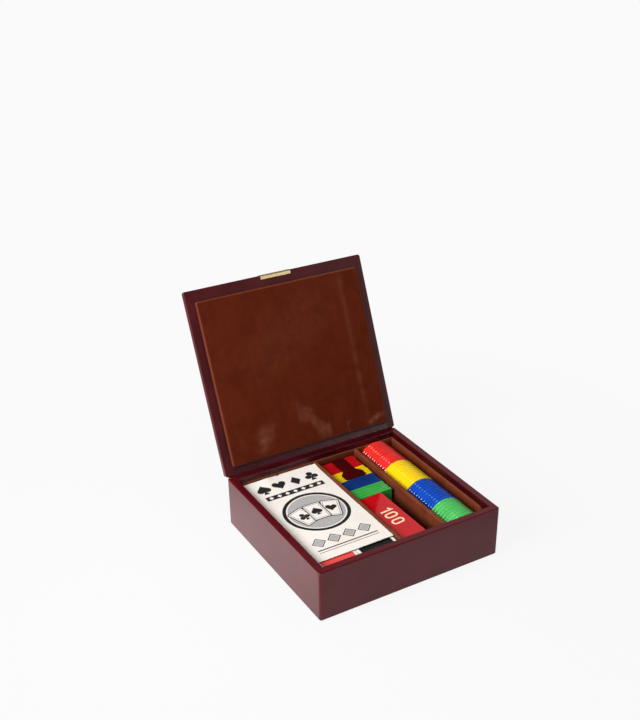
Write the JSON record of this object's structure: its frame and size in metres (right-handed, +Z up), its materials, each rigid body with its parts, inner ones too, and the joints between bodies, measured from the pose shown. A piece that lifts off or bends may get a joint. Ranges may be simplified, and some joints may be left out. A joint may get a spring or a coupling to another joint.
{
  "type": "card and games box",
  "caption": "Leather covered games box with a hinged padded lid, standing open on a fitted suede insert with cards, a booklet, plaques and chips.",
  "frame": {"origin": "centre of the underside of the base, on the surface it stands on", "axes": "+Z up, front edge of the base towards -Y, hinge along X at the back"},
  "size_m": [0.2822, 0.3702, 0.3201],
  "materials": {
    "leather": "smooth burgundy calf, waxed, slight sheen",
    "suede": "brown suede, short nap",
    "felt": "dark baize",
    "wood": "plain poplar, unvarnished",
    "card": "dense grey-brown board",
    "brass": "polished brass",
    "steel": "bright wire",
    "paper": "off-white uncoated paper, black and grey print",
    "red_cards": "glossy red backs with white borders",
    "black_cards": "glossy black backs with white borders",
    "red_resin": "glossy red cast resin",
    "yellow_resin": "glossy yellow cast resin",
    "blue_resin": "glossy blue cast resin",
    "green_resin": "glossy green cast resin"
  },
  "bodies": {
    "base": {"underside_cloth": "felt", "base_board": "wood", "front_wall": "wood", "right_wall": "wood", "back_wall": "wood", "left_wall": "wood", "base_leather": "leather", "insert_floor": "suede", "front_liner": "suede", "back_liner": "suede", "left_liner": "suede", "right_liner": "suede", "card_divider": "suede", "plaque_divider": "suede", "card_platform": "suede", "card_platform_battens": "wood", "plaque_platform": "suede", "plaque_platform_battens": "wood", "hinge_leather_inner": "leather", "hinge_leather_outer": "leather"},
    "lid": {"lid_board": "wood", "lid_leather": "leather", "lid_pad_board": "card", "lid_pad": "suede", "thumb_plate": "brass"},
    "packs": {"red_pack": "red_cards", "black_pack": "black_cards", "rear_red_pack": "red_cards", "rear_black_pack": "black_cards"},
    "booklet": {"booklet_cover": "paper", "booklet_pages": "paper", "booklet_staples": "steel"},
    "pulled_plaques": {"red_plaques": "red_resin", "yellow_plaques": "yellow_resin", "pull_strap": "leather"},
    "tab": {"pull_tab": "leather"},
    "blue_file": {"blue_plaques": "blue_resin"},
    "green_file": {"green_plaques": "green_resin"},
    "pile": {"long_plaques": "red_resin"},
    "pile_top": {"top_long_plaque": "red_resin"},
    "red_row": {"red_chips": "red_resin"},
    "yellow_row": {"yellow_chips": "yellow_resin"},
    "blue_row": {"blue_chips": "blue_resin"},
    "green_row": {"green_chips": "green_resin"}
  },
  "joints": [
    {"name": "lid_hinge", "type": "hinge", "parent": "base", "child": "lid", "pos_m": [0, 0.1295, 0.0763], "axis": [-1, 0, 0], "range_deg": [-113, 0], "deforming": ["hinge_leather_inner", "hinge_leather_outer"]},
    {"name": "packs_lift", "type": "slide", "parent": "base", "child": "packs", "axis": [0, 0, 1], "range_m": [0, 0.075]},
    {"name": "booklet_lift", "type": "slide", "parent": "packs", "child": "booklet", "axis": [0, 0, 1], "range_m": [0, 0.05]},
    {"name": "pull_lift", "type": "slide", "parent": "base", "child": "pulled_plaques", "axis": [0, 0, 1], "range_m": [0, 0.06]},
    {"name": "blue_file_lift", "type": "slide", "parent": "base", "child": "blue_file", "axis": [0, 0, 1], "range_m": [0, 0.06]},
    {"name": "green_file_lift", "type": "slide", "parent": "base", "child": "green_file", "axis": [0, 0, 1], "range_m": [0, 0.06]},
    {"name": "pile_lift", "type": "slide", "parent": "base", "child": "pile", "axis": [0, 0, 1], "range_m": [0, 0.06]},
    {"name": "pile_top_lift", "type": "slide", "parent": "pile", "child": "pile_top", "axis": [0, 0, 1], "range_m": [0, 0.03]},
    {"name": "red_row_lift", "type": "slide", "parent": "base", "child": "red_row", "axis": [0, 0, 1], "range_m": [0, 0.07]},
    {"name": "yellow_row_lift", "type": "slide", "parent": "base", "child": "yellow_row", "axis": [0, 0, 1], "range_m": [0, 0.07]},
    {"name": "blue_row_lift", "type": "slide", "parent": "base", "child": "blue_row", "axis": [0, 0, 1], "range_m": [0, 0.07]},
    {"name": "green_row_lift", "type": "slide", "parent": "base", "child": "green_row", "axis": [0, 0, 1], "range_m": [0, 0.07]},
    {"name": "tab_flip", "type": "hinge", "parent": "pulled_plaques", "child": "tab", "pos_m": [0.0269, 0.1096, 0.0654], "axis": [-1, 0, 0], "range_deg": [0, 80]}
  ]
}
